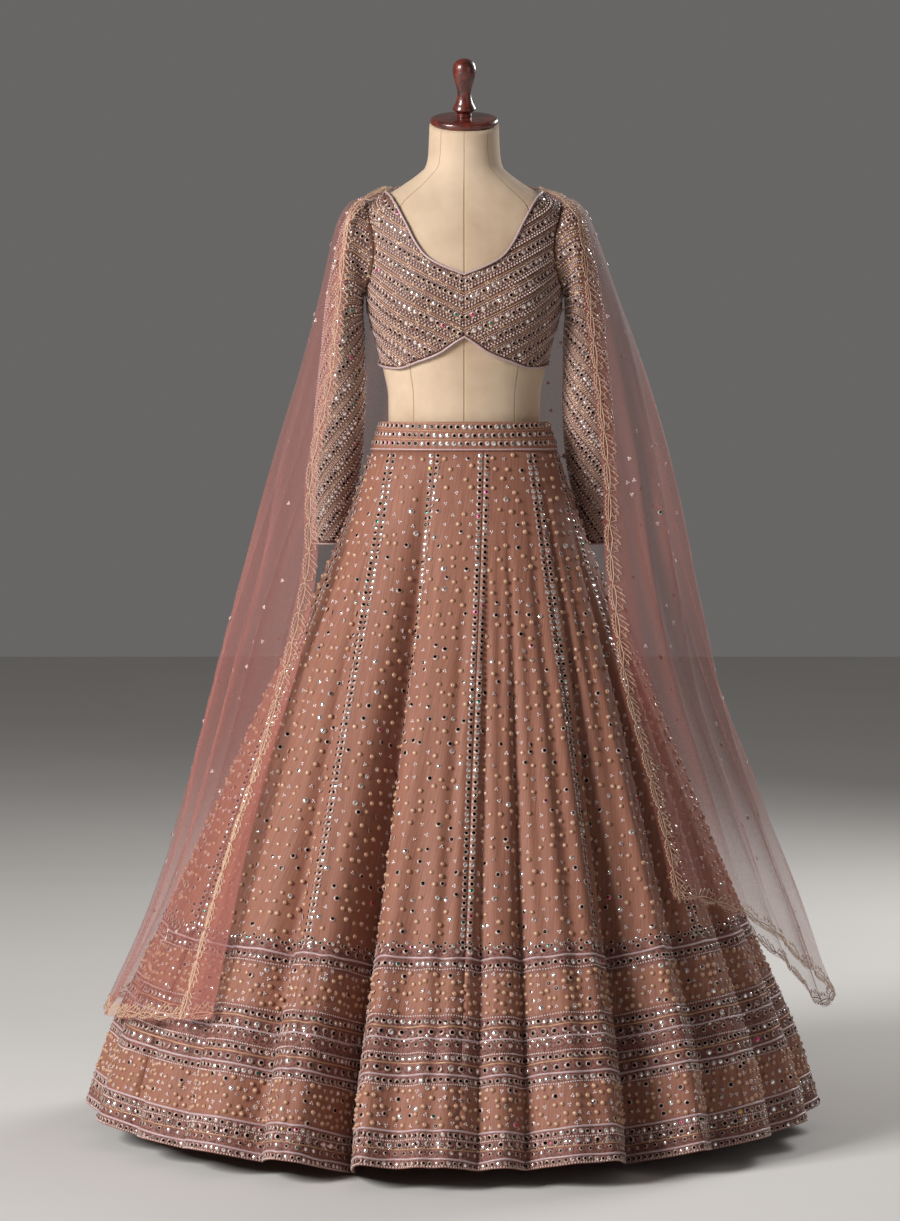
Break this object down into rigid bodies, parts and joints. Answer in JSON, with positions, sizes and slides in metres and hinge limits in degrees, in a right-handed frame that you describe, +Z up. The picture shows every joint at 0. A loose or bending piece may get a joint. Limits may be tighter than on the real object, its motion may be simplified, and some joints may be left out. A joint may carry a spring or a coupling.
{
  "type": "lehenga choli with dupatta on a limbless dress form",
  "caption": "Flared embroidered skirt, cropped long-sleeved bodice and net scarf on a limbless dress form with a turned wood cap, on a pole and a round base.",
  "frame": {"origin": "centre of the stand's round underside, on the floor", "axes": "+Z up along the pole, -Y towards the front of the dress, +X towards the viewer's right"},
  "size_m": [1.1541, 1.1394, 1.634],
  "materials": {
    "canvas": "plain woven cotton, matt",
    "polished_wood": "stained and lacquered, glossy",
    "black_steel": "satin black",
    "rose_cloth": "georgette with thread, bead and mirror work",
    "beaded_cloth": "georgette closely covered with beads and mirrors",
    "satin_piping": "satin cord piping",
    "mirror_work": "small round mirrors in wire rings",
    "pearl": "pearl beads",
    "gold_thread": "matt gold thread",
    "rose_net": "soft sheer net with an embroidered edge"
  },
  "bodies": {
    "root": {"base": "black_steel", "choli_back": "beaded_cloth", "choli_front": "beaded_cloth", "choli_hem_piping": "satin_piping", "dupatta_back": "rose_net", "dupatta_left": "rose_net", "dupatta_right": "rose_net", "finial": "polished_wood", "form_torso": "canvas", "neck_cap": "polished_wood", "neck_piping": "satin_piping", "pole": "black_steel", "skirt_panel_01": "rose_cloth", "skirt_panel_02": "rose_cloth", "skirt_panel_03": "rose_cloth", "skirt_panel_04": "rose_cloth", "skirt_panel_05": "rose_cloth", "skirt_panel_06": "rose_cloth", "skirt_panel_07": "rose_cloth", "skirt_panel_08": "rose_cloth", "skirt_panel_09": "rose_cloth", "skirt_panel_10": "rose_cloth", "skirt_panel_11": "rose_cloth", "skirt_panel_12": "rose_cloth", "sleeve_left": "beaded_cloth", "sleeve_right": "beaded_cloth", "waistband": "beaded_cloth"}
  },
  "joints": []
}
